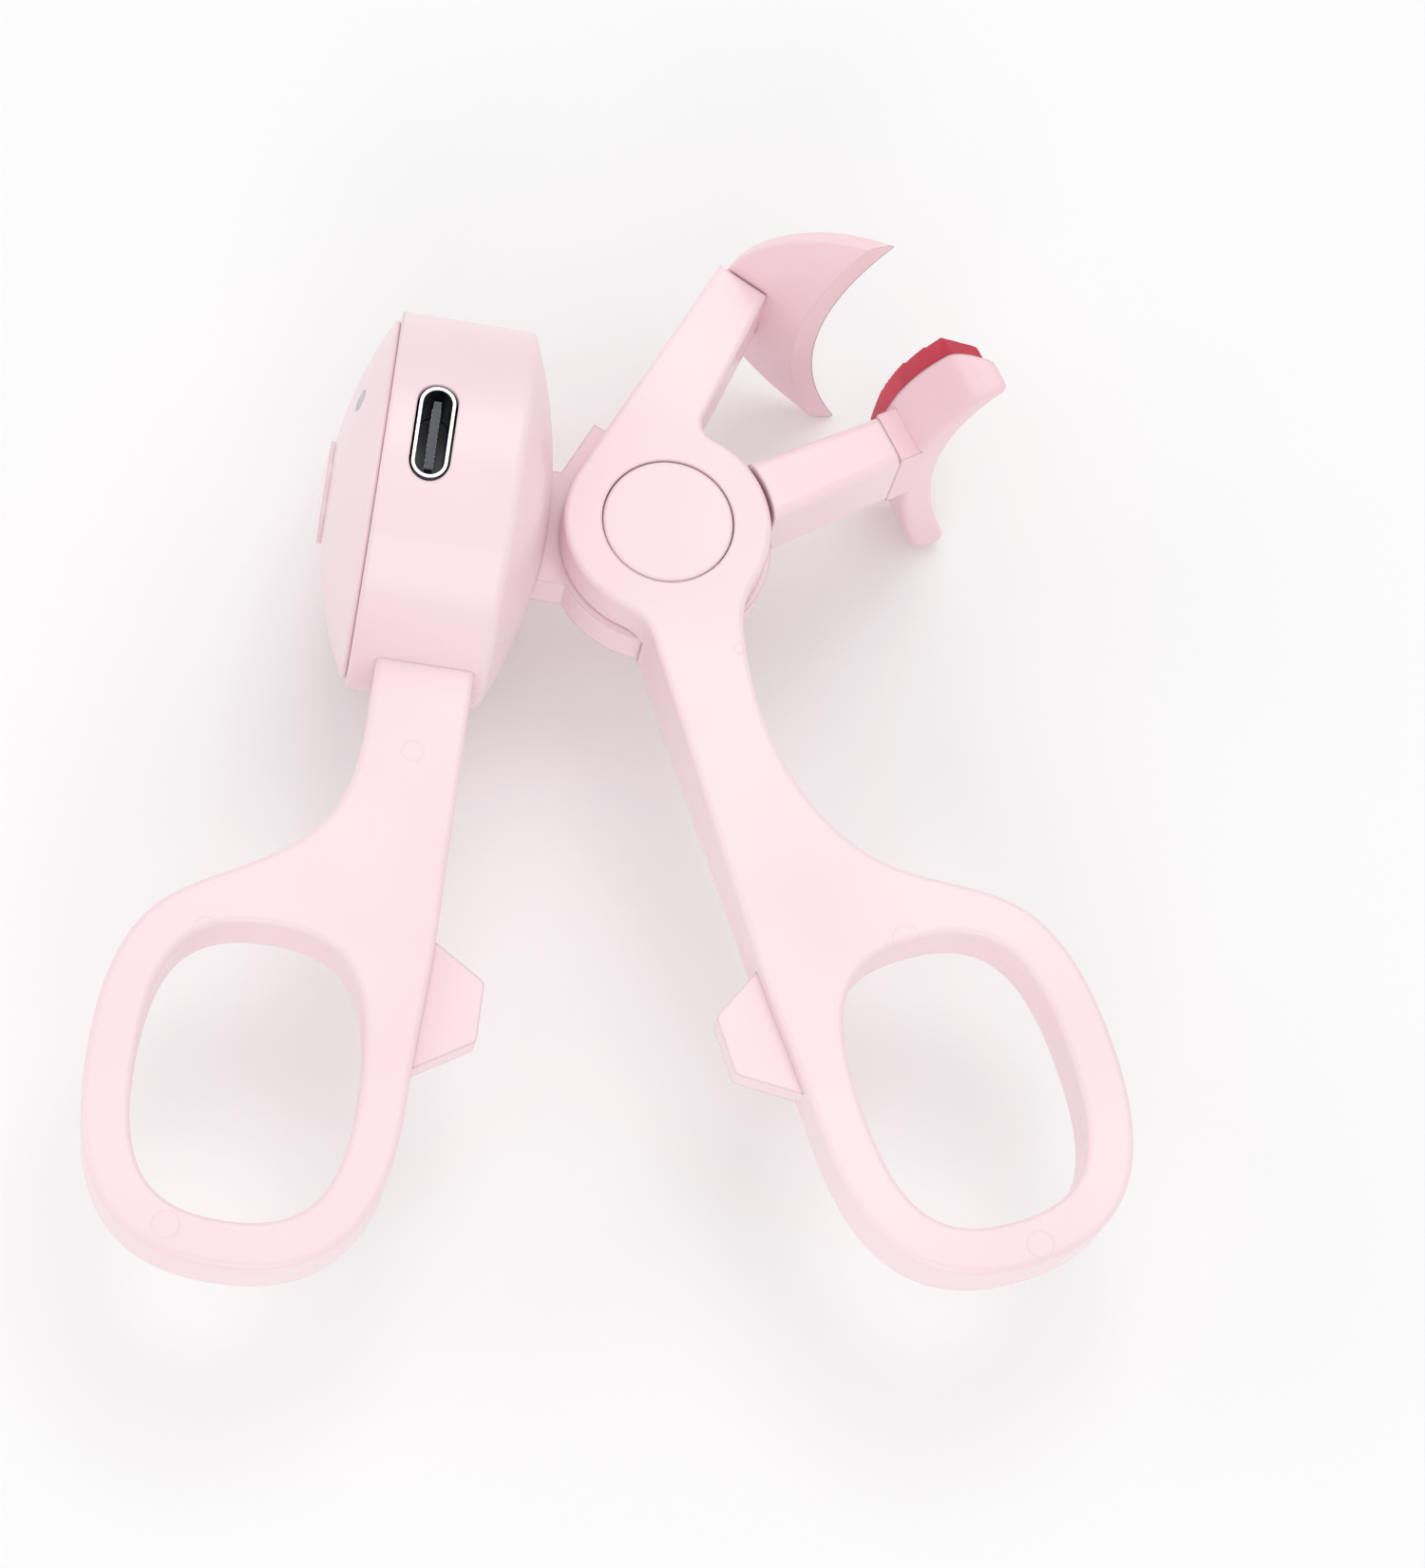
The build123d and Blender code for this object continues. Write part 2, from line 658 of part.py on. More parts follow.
with BuildPart() as board_chips:
    on_board((-7.6, -4.5), (4.0, 4.0, 0.85))
    on_board((6.6, -5.0), (3.9, 4.9, 1.45))
    on_board((7.4, 3.4), (3.0, 3.0, 1.5))
    on_board((-7.4, 3.6), (2.9, 1.6, 1.1))
    for step in range(5):
        on_board((-4.6 + 2.3 * step, -10.6), (0.8, 1.6, 0.8))
    for step in range(3):
        on_board((-2.2 + 2.2 * step, -6.4), (1.0, 0.5, 0.4))
board_chips.part.label = "board_chips"
export_step(board_chips.part, "parts/board_chips.step")

with BuildPart() as indicator_led:
    on_board(lens_at, led)
indicator_led.part.label = "indicator_led"
export_step(indicator_led.part, "parts/indicator_led.step")

with BuildPart() as board_screws:
    for reach in (-board_screw_reach, board_screw_reach):
        disc_round(board_screw_r, (board_x, board_x + 5), at=(reach, 0))
        disc_round(1.3, (board_x - 0.8, board_x), at=(reach, 0))
    with Locations(
        (board_x - 0.8, disc_y - board_screw_reach, mid), (board_x - 0.8, disc_y + board_screw_reach, mid)
    ):
        Box(0.8, 0.35, 1.6, mode=Mode.SUBTRACT)
        Box(0.8, 1.6, 0.35, mode=Mode.SUBTRACT)
board_screws.part.label = "board_screws"
export_step(board_screws.part, "parts/board_screws.step")

with BuildPart() as tact_switch:
    on_board((0, 0), (switch_side, switch_side, switch_height))
    disc_round(plunger_r + snug, (board_x - switch_height, board_x - 1.0), Mode.SUBTRACT)
tact_switch.part.label = "tact_switch"
export_step(tact_switch.part, "parts/tact_switch.step")

with BuildPart() as switch_plunger:
    disc_round(plunger_r, (plunger_top, board_x - 1.6))
switch_plunger.part.label = "switch_plunger"
export_step(switch_plunger.part, "parts/switch_plunger.step")

foam_x = board_back_x + foam_thick
cell_end = mid + cell_side / 2

with BuildPart() as battery_pad:
    with Locations((board_back_x + foam_thick / 2, disc_y, mid)):
        Box(foam_thick, 0.8 * cell_side, 0.8 * cell_side)
battery_pad.part.label = "battery_pad"
export_step(battery_pad.part, "parts/battery_pad.step")

with BuildPart() as battery_cell:
    with Locations((foam_x + cell_thick / 2, disc_y, mid)):
        Box(cell_thick, cell_side, cell_side)
    fillet(battery_cell.edges().filter_by(Axis.Y), radius=1.2)
battery_cell.part.label = "battery_cell"
export_step(battery_cell.part, "parts/battery_cell.step")

with BuildPart() as battery_leads:
    for y in (disc_y - 1.5, disc_y + 1.5):
        with BuildLine(Plane(origin=(0, y, 0), x_dir=(1, 0, 0), z_dir=(0, -1, 0))) as wire:
            FilletPolyline(
                (foam_x + cell_thick / 2, cell_end),
                (foam_x + cell_thick / 2, cell_end + 1.8),
                (board_back_x, cell_end + 1.8),
                radius=1.0,
            )
        with BuildSketch(Plane(origin=wire.line @ 0, z_dir=wire.line % 0)):
            Circle(lead_r)
        sweep()
battery_leads.part.label = "battery_leads"
export_step(battery_leads.part, "parts/battery_leads.step")

port_inside = (port_width - 2 * port_wall, port_height - 2 * port_wall)

with BuildPart() as usb_c_shell:
    with BuildSketch(Plane.XY.offset(port_mouth)):
        with Locations((port_x, port_y)):
            SlotOverall(port_width, port_height, rotation=90)
            SlotOverall(*port_inside, rotation=90, mode=Mode.SUBTRACT)
    extrude(amount=-port_length)
usb_c_shell.part.label = "usb_c_shell"
export_step(usb_c_shell.part, "parts/usb_c_shell.step")

with BuildPart() as usb_c_tongue:
    with BuildSketch(Plane.XY.offset(port_mouth - port_length)):
        with Locations((port_x, port_y)):
            SlotOverall(port_inside[0] - 2 * snug, port_inside[1] - 2 * snug, rotation=90)
    extrude(amount=1.4)
    with BuildSketch(Plane.XY.offset(port_mouth - port_length)):
        with Locations((port_x, port_y)):
            Rectangle(0.7, 6.7)
    extrude(amount=port_length - 0.7)
usb_c_tongue.part.label = "usb_c_tongue"
export_step(usb_c_tongue.part, "parts/usb_c_tongue.step")

with BuildPart() as heater_leads:
    for height in (lead_z, lead_z + lead_pitch):
        with BuildLine(Plane.XY.offset(height)) as wire:
            FilletPolyline(*lead_route, radius=lead_bend)
        with BuildSketch(Plane(origin=wire.line @ 0, z_dir=wire.line % 0)):
            Circle(lead_r)
        sweep()
heater_leads.part.label = "heater_leads"
export_step(heater_leads.part, "parts/heater_leads.step")

# ---------------------------------------------------------------- lower jaw

bar_top = clamp_gap + pad_proud          # depth of the bar's top below the clamping plane
groove_floor = bar_top + groove_depth
groove_back = bar_distance + groove_wall


def jaw_band(back, thick, half_width, depths):
    """Solid along the lower jaw's curve, between two depths below the clamping plane."""
    with BuildPart() as band:
        with BuildSketch(side_plane(lower_arm_angle)):
            with Locations((bar_distance + bar_r, 0)):
                Circle(bar_distance + bar_r - back)
                Circle(bar_distance + bar_r - back - thick, mode=Mode.SUBTRACT)
            with Locations((back + 6, 0)):
                Rectangle(16, 2 * half_width, mode=Mode.INTERSECT)
        extrude(amount=16, both=True)
        with BuildSketch(clamp_shut_plane):
            with Locations((0, -(depths[0] + depths[1]) / 2)):
                Rectangle(60, depths[1] - depths[0])
        extrude(amount=40, both=True, mode=Mode.INTERSECT)
    return band.part


bar = jaw_band(bar_distance, bar_thick, bar_half_width, (bar_top, 12))
groove = jaw_band(groove_back, groove_width, groove_half_width, (0, groove_floor))
strip_top = groove_floor - strip_thick
stem = jaw_band(groove_back + snug, groove_width - 2 * snug, groove_half_width - snug, (bar_top, strip_top))
head = jaw_band(groove_back - pad_lip, groove_width + 2 * pad_lip, pad_half_width, (clamp_gap, bar_top))
strip = jaw_band(
    groove_back + 3 * snug, groove_width - 6 * snug, groove_half_width - 1, (strip_top, groove_floor)
)
pocket = ((tab_distance - 0.55, tab_distance + 1.2), (-0.95, 0.6), (1.6, 6.8))
bar_back_round = 2.0
bar_front_round = 0.9
bar_foot_round = 0.7

with BuildPart() as lower_jaw:
    add(bar)
    with BuildSketch(face_plane(lower_arm_angle)):
        with BuildLine():
            end = bar_half_width + 1
            foot = ThreePointArc((bar_foot[1], -end), (bar_foot[0], 0), (bar_foot[1], end))
            Polyline(foot @ 0, (20, -end), (20, end), foot @ 1)
        make_face()
    extrude(amount=60, mode=Mode.INTERSECT)
    uprights = lower_jaw.faces().filter_by(Axis.Z).edges().filter_by(lambda e: abs((e % 0.5).X) < 0.7)
    fillet(uprights.sort_by_distance((0, 0, mid))[:2], radius=bar_back_round)
    uprights = lower_jaw.faces().filter_by(Axis.Z).edges().filter_by(lambda e: abs((e % 0.5).X) < 0.7)
    fillet(uprights.sort_by_distance((0, 0, mid))[-2:], radius=bar_front_round)
    fillet(lower_jaw.faces().sort_by(lambda f: f.center().Y)[0].edges(), radius=bar_foot_round)
    block(
        lower_arm_frame,
        (arm_seam + snug, bar_distance + 0.8),
        (lower_arm_foot[1], lower_arm_top[1]),
        (0, lever_thick),
    )
    block(lower_arm_frame, (arm_seam - tenon_length, bar_distance + 0.8), lower_tenon_side, lower_tenon_z)
    add(groove, mode=Mode.SUBTRACT)
    block(lower_arm_frame, *pocket, mode=Mode.SUBTRACT)
    lead_hole = (lead_side - lead_channel / 2, lead_side + lead_channel / 2)
    block(lower_arm_frame, (arm_seam - 5, tab_distance), lead_hole, (lead_floor, lead_top), Mode.SUBTRACT)
lower_jaw.part.label = "lower_jaw"
export_step(lower_jaw.part, "parts/lower_jaw.step")

with BuildPart() as heating_strip:
    add(strip)
    block(lower_arm_frame, (tab_distance, tab_distance + 0.4), (-0.75, 0.5), (1.9, 3.6))
heating_strip.part.label = "heating_strip"
export_step(heating_strip.part, "parts/heating_strip.step")

with BuildPart() as temperature_sensor:
    block(lower_arm_frame, (tab_distance - 0.3, tab_distance + 0.5), (-0.9, -0.35), (4.8, 6.4))
temperature_sensor.part.label = "temperature_sensor"
export_step(temperature_sensor.part, "parts/temperature_sensor.step")

with BuildPart() as silicone_pad:
    add(head)
    add(stem)
silicone_pad.part.label = "silicone_pad"
export_step(silicone_pad.part, "parts/silicone_pad.step")

# ---------------------------------------------------------------- upper jaw

blade_edge_round = 0.35

with BuildPart() as upper_jaw:
    with BuildSketch(side_plane(blade_angle)):
        with Locations((blade_face + blade_r, 0)):
            Circle(blade_r)
            Circle(blade_r - blade_wall, mode=Mode.SUBTRACT)
        with Locations((blade_face + 6, 0)):
            Rectangle(16, 2 * blade_crown_r, mode=Mode.INTERSECT)
    extrude(amount=30, both=True)
    with BuildSketch(face_plane(blade_angle)):
        with Locations((blade_rise - blade_crown_r, 0)):
            Circle(blade_crown_r)
    extrude(amount=60, mode=Mode.INTERSECT)
    with BuildSketch(clamp_rest_plane):
        Rectangle(80, 30, align=(Align.CENTER, Align.MIN))
    extrude(amount=60, both=True, mode=Mode.INTERSECT)
    crown = upper_jaw.edges().sort_by(SortBy.LENGTH)[-2:]
    fillet(crown, radius=blade_edge_round)
    block(
        blade_frame,
        (blade_face - tenon_length, blade_face + blade_wall / 2),
        (upper_tenon_side - tenon_half_width, upper_tenon_side + tenon_half_width),
        (mid - upper_tenon_half_height, mid + upper_tenon_half_height),
    )
upper_jaw.part.label = "upper_jaw"
export_step(upper_jaw.part, "parts/upper_jaw.step")

# ---------------------------------------------------------------- pivot

with BuildPart() as pivot_cap:
    pivot_round(cap_r, (cap_seat, lever_thick))
    fillet(pivot_cap.edges().sort_by(Axis.Z)[-1], radius=0.25)
    pivot_round(cap_lip[1], (cap_seat - cap_lip[2], cap_seat))
    pivot_round(cap_lip[0], (cap_seat - cap_lip[2], cap_seat), Mode.SUBTRACT)
pivot_cap.part.label = "pivot_cap"
export_step(pivot_cap.part, "parts/pivot_cap.step")

with BuildPart() as pivot_screw:
    pivot_round(screw_r, (hub_floor + 0.3, head_foot))
    pivot_round(head_r, (head_foot, head_top))
    fillet(pivot_screw.edges().sort_by(Axis.Z)[-1], radius=0.3)
    with Locations((0, 0, head_top)):
        Box(2.6, 0.5, 1.0, mode=Mode.SUBTRACT)
        Box(0.5, 2.6, 1.0, mode=Mode.SUBTRACT)
pivot_screw.part.label = "pivot_screw"
export_step(pivot_screw.part, "parts/pivot_screw.step")

with BuildPart() as pivot_washer:
    pivot_round(washer_r, (sleeve_top, head_foot))
    pivot_round(sleeve_bore_r, (sleeve_top, head_foot), Mode.SUBTRACT)
pivot_washer.part.label = "pivot_washer"
export_step(pivot_washer.part, "parts/pivot_washer.step")

with BuildPart() as pivot_sleeve:
    pivot_round(sleeve_r, (insert_top, sleeve_top))
    pivot_round(sleeve_bore_r, (insert_top, sleeve_top), Mode.SUBTRACT)
pivot_sleeve.part.label = "pivot_sleeve"
export_step(pivot_sleeve.part, "parts/pivot_sleeve.step")

with BuildPart() as threaded_insert:
    pivot_round(insert_r, (hub_floor, insert_top))
    pivot_round(screw_r + snug, (hub_floor, insert_top), Mode.SUBTRACT)
threaded_insert.part.label = "threaded_insert"
export_step(threaded_insert.part, "parts/threaded_insert.step")

with BuildPart() as torsion_spring:
    with BuildLine(spring_frame) as coil:
        Helix(pitch=spring_pitch, height=spring_pitch * spring_turns, radius=spring_r)
    with BuildSketch(Plane(origin=coil.line @ 0, z_dir=coil.line % 0)):
        Circle(spring_wire / 2)
    sweep(is_frenet=True)
    with BuildSketch(Plane(origin=coil.line @ 0, z_dir=heading(spring_turned))):
        Circle(spring_wire / 2)
    extrude(amount=spring_leg_reach - spring_r)
    with BuildSketch(Plane(origin=coil.line @ 1, z_dir=(0, 0, 1))):
        Circle(spring_wire / 2)
    extrude(amount=leg_hole[1] - 0.1 - spring_base - spring_pitch * spring_turns)
torsion_spring.part.label = "torsion_spring"
export_step(torsion_spring.part, "parts/torsion_spring.step")
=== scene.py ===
import bmesh
import bpy
from mathutils import Matrix, Vector


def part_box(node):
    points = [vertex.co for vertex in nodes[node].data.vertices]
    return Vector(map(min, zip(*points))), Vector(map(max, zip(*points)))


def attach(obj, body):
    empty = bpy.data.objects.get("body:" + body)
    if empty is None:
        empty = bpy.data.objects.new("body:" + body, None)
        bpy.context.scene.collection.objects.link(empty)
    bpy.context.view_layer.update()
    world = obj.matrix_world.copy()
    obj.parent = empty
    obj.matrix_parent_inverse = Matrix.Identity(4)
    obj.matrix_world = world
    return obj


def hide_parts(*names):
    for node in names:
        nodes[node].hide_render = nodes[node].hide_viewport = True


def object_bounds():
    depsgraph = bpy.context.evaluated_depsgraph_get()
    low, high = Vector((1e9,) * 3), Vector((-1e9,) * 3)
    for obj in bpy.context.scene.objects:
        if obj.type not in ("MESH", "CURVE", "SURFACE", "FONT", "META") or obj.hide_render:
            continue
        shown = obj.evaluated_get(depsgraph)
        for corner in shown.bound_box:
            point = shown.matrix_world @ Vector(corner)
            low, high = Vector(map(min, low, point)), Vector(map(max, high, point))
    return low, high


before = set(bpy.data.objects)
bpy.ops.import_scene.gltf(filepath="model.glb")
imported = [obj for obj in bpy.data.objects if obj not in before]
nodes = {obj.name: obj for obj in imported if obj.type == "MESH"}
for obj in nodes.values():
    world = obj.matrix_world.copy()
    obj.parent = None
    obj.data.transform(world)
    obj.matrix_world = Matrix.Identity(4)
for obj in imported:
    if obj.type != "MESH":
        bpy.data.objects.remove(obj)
cad_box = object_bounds()
scene = bpy.context.scene
MM = 0.001

# Camera: looks down on the curler from the finger loops' end, a little from the left.
# The curler lies flat, so the view is steep, with the housing's rim turned towards the lens.
lens_place = Vector((-30.08, -189.33, 408.97)) * MM
aim = Vector((7.32, -23.22, 4.5)) * MM
upright = Vector((-0.1529, 0.9190, 0.3633))
backward = (lens_place - aim).normalized()
rightward = upright.cross(backward).normalized()
camera_data = bpy.data.cameras.new("camera")
camera_data.lens = 111.06
camera_data.sensor_fit = "VERTICAL"
camera_data.sensor_height = 36
camera_data.clip_start = 0.01
camera = bpy.data.objects.new("camera", camera_data)
turn = Matrix((rightward, backward.cross(rightward), backward)).transposed().to_4x4()
camera.matrix_world = Matrix.Translation(lens_place) @ turn
scene.collection.objects.link(camera)
scene.camera = camera
scene.view_settings.view_transform = "Standard"

# Studio: a white table under a white tent, with one broad lamp overhead behind the hub and
# weaker ones at the left and in front, so that top faces are almost white and walls fall off softly.
world = bpy.data.worlds.new("tent")
world.use_nodes = True
world.node_tree.nodes["Background"].inputs["Color"].default_value = (1.0, 1.0, 1.0, 1)
world.node_tree.nodes["Background"].inputs["Strength"].default_value = 0.84
scene.world = world


def lamp(name, place, size, power):
    """Broad square lamp that faces the hub."""
    data = bpy.data.lights.new(name, "AREA")
    data.size = size
    data.energy = power
    thing = bpy.data.objects.new(name, data)
    thing.location = place
    thing.rotation_euler = Vector(place).to_track_quat("Z", "Y").to_euler()
    scene.collection.objects.link(thing)


lamp("overhead_lamp", (0.05, 0.42, 0.85), 0.55, 1.4)
lamp("left_lamp", (-0.75, 0.05, 0.42), 0.5, 0.5)
lamp("front_lamp", (0.05, -0.9, 0.5), 0.6, 1.5)


def plain_table():
    """Large matt white sheet just under the curler."""
    sheet = bmesh.new()
    reach = 3.0
    gap = 0.02 * MM
    low = cad_box[0][2] - gap
    for x, y in ((-reach, -reach), (reach, -reach), (reach, reach), (-reach, reach)):
        sheet.verts.new((x, y, low))
    sheet.faces.new(sheet.verts)
    mesh = bpy.data.meshes.new("table")
    sheet.to_mesh(mesh)
    sheet.free()
    table = bpy.data.objects.new("table", mesh)
    scene.collection.objects.link(table)
    white = bpy.data.materials.new("table_white")
    white.use_nodes = True
    surface = white.node_tree.nodes["Principled BSDF"].inputs
    surface["Base Color"].default_value = (0.93, 0.93, 0.93, 1)
    surface["Roughness"].default_value = 0.9
    surface["Specular IOR Level"].default_value = 0.1
    mesh.materials.append(white)


plain_table()

# Levers: the rear lever carries the housing's cup and the lower arm, the front lever laps over it.
# Both are glossy pink ABS, injection moulded, with faint flow shading and the round marks that the
# ejector pins leave on the flat faces.


def tone(red, green, blue):
    """Paint colour from 0 to 255 display values."""
    linear = []
    for shown in (red / 255, green / 255, blue / 255):
        linear.append(shown / 12.92 if shown < 0.043 else ((shown + 0.055) / 1.055) ** 2.4)
    return (*linear, 1.0)


def pattern(name, inputs, outputs):
    """Empty shader node group with named sockets; gives the group and its input and output nodes."""
    tree = bpy.data.node_groups.new(name, "ShaderNodeTree")
    for label, value in inputs.items():
        kind = "NodeSocketVector" if isinstance(value, tuple) else "NodeSocketFloat"
        socket = tree.interface.new_socket(label, in_out="INPUT", socket_type=kind)
        socket.default_value = value
    for label in outputs:
        tree.interface.new_socket(label, in_out="OUTPUT", socket_type="NodeSocketFloat")
    return tree, tree.nodes.new("NodeGroupInput"), tree.nodes.new("NodeGroupOutput")


def sum_up(tree, operation, first, second):
    """Math node on two sockets or numbers."""
    node = tree.nodes.new("ShaderNodeMath")
    node.operation = operation
    for place, value in enumerate((first, second)):
        if isinstance(value, (int, float)):
            node.inputs[place].default_value = value
        else:
            tree.links.new(value, node.inputs[place])
    return node.outputs[0]


def make_moulded_grain():
    """Skin of moulded plastic: cloudy flow shading and a very fine grain."""
    scales = {"Cloud Scale": 45.0, "Grain Scale": 2600.0}
    tree, given, result = pattern("moulded_grain", scales, ("Cloud", "Grain"))
    place = tree.nodes.new("ShaderNodeTexCoord")
    for label, source, detail in (("Cloud", "Cloud Scale", 2.0), ("Grain", "Grain Scale", 3.0)):
        noise = tree.nodes.new("ShaderNodeTexNoise")
        noise.inputs["Detail"].default_value = detail
        tree.links.new(place.outputs["Object"], noise.inputs["Vector"])
        tree.links.new(given.outputs[source], noise.inputs["Scale"])
        tree.links.new(noise.outputs["Fac"], result.inputs[label])
    return tree


def make_pin_mark():
    """Ring that an ejector pin leaves in a face: 1 on the ring's line, falling to 0 beside it."""
    sizes = {"Centre": (0.0, 0.0, 0.0), "Radius": 1.2 * MM, "Line": 0.14 * MM}
    tree, given, result = pattern("pin_mark", sizes, ("Ring",))
    place = tree.nodes.new("ShaderNodeTexCoord")
    away = tree.nodes.new("ShaderNodeVectorMath")
    away.operation = "DISTANCE"
    tree.links.new(place.outputs["Object"], away.inputs[0])
    tree.links.new(given.outputs["Centre"], away.inputs[1])
    past_ring = sum_up(tree, "SUBTRACT", away.outputs["Value"], given.outputs["Radius"])
    off_ring = sum_up(tree, "ABSOLUTE", past_ring, 0.0)
    share = sum_up(tree, "DIVIDE", off_ring, given.outputs["Line"])
    shallow = sum_up(tree, "SUBTRACT", 1.0, share)
    tree.links.new(sum_up(tree, "MAXIMUM", shallow, 0.0), result.inputs["Ring"])
    return tree


moulded_grain = make_moulded_grain()
pin_mark = make_pin_mark()


def place_group(tree, group, **values):
    """Adds a node group to a material and sets its inputs."""
    node = tree.nodes.new("ShaderNodeGroup")
    node.node_tree = group
    for label, value in values.items():
        node.inputs[label.replace("_", " ")].default_value = value
    return node


def two_tones(tree, mask, first, second, low=0.0, high=1.0):
    """Colour that runs from one tone to another as a mask goes from low to high."""
    ramp = tree.nodes.new("ShaderNodeValToRGB")
    ramp.color_ramp.elements[0].position = low
    ramp.color_ramp.elements[0].color = first
    ramp.color_ramp.elements[1].position = high
    ramp.color_ramp.elements[1].color = second
    tree.links.new(mask, ramp.inputs["Fac"])
    return ramp.outputs["Color"]


def span(tree, mask, low, high):
    """Value that runs between two numbers as a mask goes from 0.3 to 0.7."""
    node = tree.nodes.new("ShaderNodeMapRange")
    node.inputs["From Min"].default_value = 0.3
    node.inputs["From Max"].default_value = 0.7
    node.inputs["To Min"].default_value = low
    node.inputs["To Max"].default_value = high
    tree.links.new(mask, node.inputs["Value"])
    return node.outputs["Result"]


def emboss(tree, heights, distance, surface, soft_edge=0.0):
    """Bump from the sum of some heights, over corners rounded by soft_edge."""
    relief = heights[0]
    for height in heights[1:]:
        relief = sum_up(tree, "ADD", relief, height)
    bump = tree.nodes.new("ShaderNodeBump")
    bump.inputs["Strength"].default_value = 1.0
    bump.inputs["Distance"].default_value = distance
    tree.links.new(relief, bump.inputs["Height"])
    if soft_edge:
        rounded = tree.nodes.new("ShaderNodeBevel")
        rounded.samples = 6
        rounded.inputs["Radius"].default_value = soft_edge
        tree.links.new(rounded.outputs["Normal"], bump.inputs["Normal"])
    tree.links.new(bump.outputs["Normal"], surface["Normal"])


def new_finish(name):
    """Material with its shader's inputs."""
    finish = bpy.data.materials.new(name)
    finish.use_nodes = True
    return finish, finish.node_tree, finish.node_tree.nodes["Principled BSDF"].inputs


grain_share = 0.10
relief_height = 0.03 * MM


def pink_plastic(name, pale, deep, gloss=(0.24, 0.32), marks=(), soft_edge=0.4 * MM):
    """Moulded pink ABS between two tones, with the rings of its ejector pins."""
    finish, tree, surface = new_finish(name)
    skin = place_group(tree, moulded_grain)
    tree.links.new(two_tones(tree, skin.outputs["Cloud"], deep, pale, 0.32, 0.62), surface["Base Color"])
    tree.links.new(span(tree, skin.outputs["Cloud"], gloss[1], gloss[0]), surface["Roughness"])
    heights = [sum_up(tree, "MULTIPLY", skin.outputs["Grain"], grain_share)]
    for centre, radius in marks:
        ring = place_group(tree, pin_mark, Centre=tuple(c * MM for c in centre), Radius=radius * MM)
        heights.append(sum_up(tree, "MULTIPLY", ring.outputs["Ring"], -1.0))
    emboss(tree, heights, relief_height, surface, soft_edge)
    surface["Coat Weight"].default_value = 0.15
    surface["Coat Roughness"].default_value = 0.12
    return finish


def wears(finish, *names):
    """Gives CAD nodes a finish."""
    for name in names:
        mesh = nodes[name].data
        mesh.materials.clear()
        mesh.materials.append(finish)


petal = tone(246, 222, 228)
petal_deep = tone(244, 216, 223)
loop_pins = [((-35.15, -72.51, 7.5), 1.2), ((-35.6, -45.5, 7.5), 1.2), ((-20.1, -26.0, 8.3), 1.0)]
front_pins = [((40.6, -62.8, 7.5), 1.2), ((26.0, -36.3, 7.5), 1.2), ((7.9, -11.5, 9.0), 0.5)]
wears(pink_plastic("rear_lever_pink", petal, petal_deep, marks=loop_pins), "rear_lever")
wears(pink_plastic("front_lever_pink", petal, petal_deep, marks=front_pins), "front_lever")

# Housing cover and button: a shallow dome pressed into the cup's open side, with the power button in
# its middle. Same plastic; the button is polished a little more than the dome round it.
wears(pink_plastic("cover_pink", tone(243, 220, 227), tone(240, 214, 221)), "housing_cover")
button_finish = pink_plastic("button_pink", tone(245, 221, 227), tone(242, 214, 221), gloss=(0.16, 0.22))
wears(button_finish, "power_button")
wears(pink_plastic("cap_pink", tone(247, 223, 229), tone(245, 217, 224), gloss=(0.18, 0.26)), "pivot_cap")

# Jaws: separate mouldings that plug into the ends of the arms. Their plastic is a deeper pink with a
# satin skin, and their edges are the thinnest on the tool.
blush = tone(246, 214, 221)
blush_deep = tone(243, 207, 214)
wears(pink_plastic("lower_jaw_pink", blush, blush_deep, gloss=(0.34, 0.44)), "lower_jaw")
blade_finish = pink_plastic("upper_jaw_pink", blush, blush_deep, gloss=(0.34, 0.44), soft_edge=0.25 * MM)
wears(blade_finish, "upper_jaw")

# Pad: soft red silicone, pressed into the groove of the lower jaw. Its corners are rounded by the
# mould, the skin is slightly sticky and satin, and lint shows on it as pale specks.


def soft_copy(name, node, cell, passes):
    """Rounded mesh of a soft piece, from its CAD node."""
    source = nodes[node].data.copy()
    loose = bmesh.new()
    loose.from_mesh(source)
    weld = 0.002 * MM
    bmesh.ops.remove_doubles(loose, verts=loose.verts, dist=weld)
    loose.to_mesh(source)
    loose.free()
    piece = bpy.data.objects.new(name, source)
    scene.collection.objects.link(piece)
    skin = piece.modifiers.new("skin", "REMESH")
    skin.mode = "VOXEL"
    skin.voxel_size = cell
    relax = piece.modifiers.new("relax", "SMOOTH")
    relax.factor = 0.5
    relax.iterations = passes
    bpy.context.view_layer.update()
    mesh = bpy.data.meshes.new_from_object(piece.evaluated_get(bpy.context.evaluated_depsgraph_get()))
    piece.modifiers.clear()
    piece.data = mesh
    mesh.materials.clear()
    mesh.polygons.foreach_set("use_smooth", [True] * len(mesh.polygons))
    return piece


def make_lint():
    """Scattered specks: 1 on a speck, 0 between."""
    tree, given, result = pattern("lint", {"Scale": 900.0, "Size": 0.1}, ("Speck", "Dimple"))
    place = tree.nodes.new("ShaderNodeTexCoord")
    cells = tree.nodes.new("ShaderNodeTexVoronoi")
    tree.links.new(place.outputs["Object"], cells.inputs["Vector"])
    tree.links.new(given.outputs["Scale"], cells.inputs["Scale"])
    near = sum_up(tree, "LESS_THAN", cells.outputs["Distance"], given.outputs["Size"])
    patchy = tree.nodes.new("ShaderNodeTexNoise")
    patchy.inputs["Scale"].default_value = 420.0
    tree.links.new(place.outputs["Object"], patchy.inputs["Vector"])
    here = sum_up(tree, "GREATER_THAN", patchy.outputs["Fac"], 0.6)
    tree.links.new(sum_up(tree, "MULTIPLY", near, here), result.inputs["Speck"])
    tree.links.new(cells.outputs["Distance"], result.inputs["Dimple"])
    return tree


lint = make_lint()


